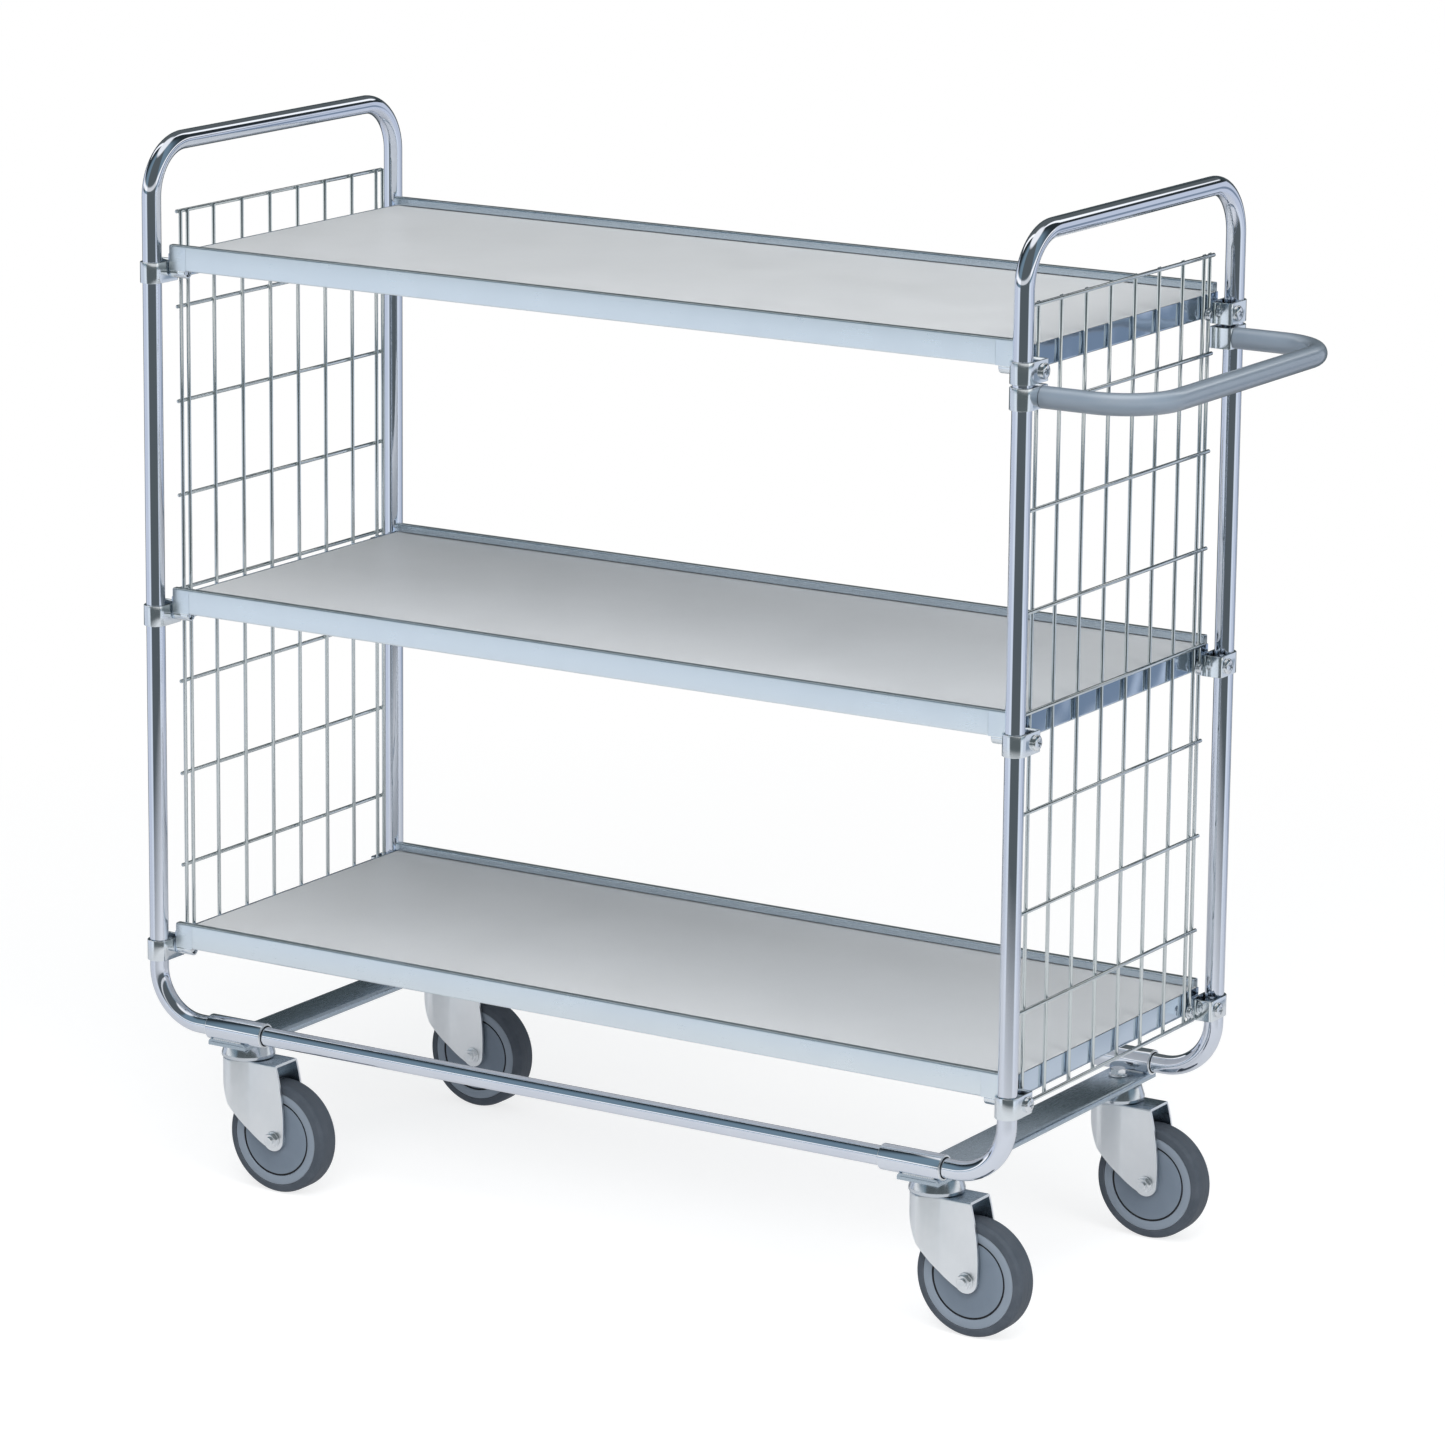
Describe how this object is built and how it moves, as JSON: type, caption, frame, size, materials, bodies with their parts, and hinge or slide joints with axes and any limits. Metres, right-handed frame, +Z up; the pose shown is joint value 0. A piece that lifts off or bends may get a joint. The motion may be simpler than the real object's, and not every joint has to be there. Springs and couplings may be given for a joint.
{
  "type": "shelf trolley",
  "caption": "Shelf trolley with bent tube end frames, framed shelves, wire mesh ends, a push handle and swivel casters.",
  "frame": {"origin": "on the floor, under the middle of the whole trolley's bounding box, with the push handle", "axes": "+X along the long side towards the push handle, +Y from the front long side to the rear one, +Z up"},
  "size_m": [1.1835, 0.4626, 1.118],
  "materials": {
    "bright_zinc_tube": "bright zinc-plated steel tube, polished look",
    "zinc_sheet": "bluish bright zinc on folded sheet steel",
    "bright_wire": "bright plated steel wire",
    "grey_laminate": "light warm grey laminate on board, satin",
    "zinc_fastener": "zinc-plated strap and screw",
    "blue_grey_coating": "smooth blue-grey coating, semi-gloss",
    "pressed_zinc": "satin zinc on pressed sheet steel",
    "grey_nylon": "blue-grey moulded plastic, satin",
    "grey_rubber": "dark grey non-marking rubber, matt"
  },
  "bodies": {
    "frame": {"end_frame_left": "bright_zinc_tube", "end_frame_right": "bright_zinc_tube", "side_rail_front": "bright_zinc_tube", "side_rail_rear": "bright_zinc_tube", "cross_member_left": "zinc_sheet", "cross_member_right": "zinc_sheet", "end_mesh_left": "bright_wire", "end_mesh_right": "bright_wire", "shelf_board_top": "grey_laminate", "shelf_profile_top_front": "zinc_sheet", "shelf_profile_top_rear": "zinc_sheet", "shelf_end_top_left": "zinc_sheet", "shelf_end_top_right": "zinc_sheet", "shelf_clamp_top_left_front": "zinc_fastener", "shelf_clamp_top_left_rear": "zinc_fastener", "shelf_clamp_top_right_front": "zinc_fastener", "shelf_clamp_top_right_rear": "zinc_fastener", "shelf_board_middle": "grey_laminate", "shelf_profile_middle_front": "zinc_sheet", "shelf_profile_middle_rear": "zinc_sheet", "shelf_end_middle_left": "zinc_sheet", "shelf_end_middle_right": "zinc_sheet", "shelf_clamp_middle_left_front": "zinc_fastener", "shelf_clamp_middle_left_rear": "zinc_fastener", "shelf_clamp_middle_right_front": "zinc_fastener", "shelf_clamp_middle_right_rear": "zinc_fastener", "shelf_board_bottom": "grey_laminate", "shelf_profile_bottom_front": "zinc_sheet", "shelf_profile_bottom_rear": "zinc_sheet", "shelf_end_bottom_left": "zinc_sheet", "shelf_end_bottom_right": "zinc_sheet", "shelf_clamp_bottom_left_front": "zinc_fastener", "shelf_clamp_bottom_left_rear": "zinc_fastener", "shelf_clamp_bottom_right_front": "zinc_fastener", "shelf_clamp_bottom_right_rear": "zinc_fastener", "push_handle": "blue_grey_coating", "handle_clamp_front": "zinc_fastener", "handle_clamp_rear": "zinc_fastener", "caster_head_left_front": "pressed_zinc", "caster_head_left_rear": "pressed_zinc", "caster_head_right_front": "pressed_zinc", "caster_head_right_rear": "pressed_zinc"},
    "fork_left_front": {"caster_fork_left_front": "pressed_zinc", "caster_axle_left_front": "zinc_fastener"},
    "wheel_left_front": {"wheel_rim_left_front": "grey_nylon", "wheel_tyre_left_front": "grey_rubber"},
    "fork_left_rear": {"caster_fork_left_rear": "pressed_zinc", "caster_axle_left_rear": "zinc_fastener"},
    "wheel_left_rear": {"wheel_rim_left_rear": "grey_nylon", "wheel_tyre_left_rear": "grey_rubber"},
    "fork_right_front": {"caster_fork_right_front": "pressed_zinc", "caster_axle_right_front": "zinc_fastener"},
    "wheel_right_front": {"wheel_rim_right_front": "grey_nylon", "wheel_tyre_right_front": "grey_rubber"},
    "fork_right_rear": {"caster_fork_right_rear": "pressed_zinc", "caster_axle_right_rear": "zinc_fastener"},
    "wheel_right_rear": {"wheel_rim_right_rear": "grey_nylon", "wheel_tyre_right_rear": "grey_rubber"}
  },
  "joints": [
    {"name": "swivel_left_front", "type": "hinge", "parent": "frame", "child": "fork_left_front", "pos_m": [-0.48025, -0.188, 0.141], "axis": [0, 0, 1], "continuous": true},
    {"name": "spin_left_front", "type": "hinge", "parent": "fork_left_front", "child": "wheel_left_front", "pos_m": [-0.43525, -0.188, 0.06], "axis": [0, 1, 0], "continuous": true},
    {"name": "swivel_left_rear", "type": "hinge", "parent": "frame", "child": "fork_left_rear", "pos_m": [-0.48025, 0.188, 0.141], "axis": [0, 0, 1], "continuous": true},
    {"name": "spin_left_rear", "type": "hinge", "parent": "fork_left_rear", "child": "wheel_left_rear", "pos_m": [-0.43525, 0.188, 0.06], "axis": [0, 1, 0], "continuous": true},
    {"name": "swivel_right_front", "type": "hinge", "parent": "frame", "child": "fork_right_front", "pos_m": [0.36175, -0.188, 0.141], "axis": [0, 0, 1], "continuous": true},
    {"name": "spin_right_front", "type": "hinge", "parent": "fork_right_front", "child": "wheel_right_front", "pos_m": [0.40675, -0.188, 0.06], "axis": [0, 1, 0], "continuous": true},
    {"name": "swivel_right_rear", "type": "hinge", "parent": "frame", "child": "fork_right_rear", "pos_m": [0.36175, 0.188, 0.141], "axis": [0, 0, 1], "continuous": true},
    {"name": "spin_right_rear", "type": "hinge", "parent": "fork_right_rear", "child": "wheel_right_rear", "pos_m": [0.40675, 0.188, 0.06], "axis": [0, 1, 0], "continuous": true}
  ]
}
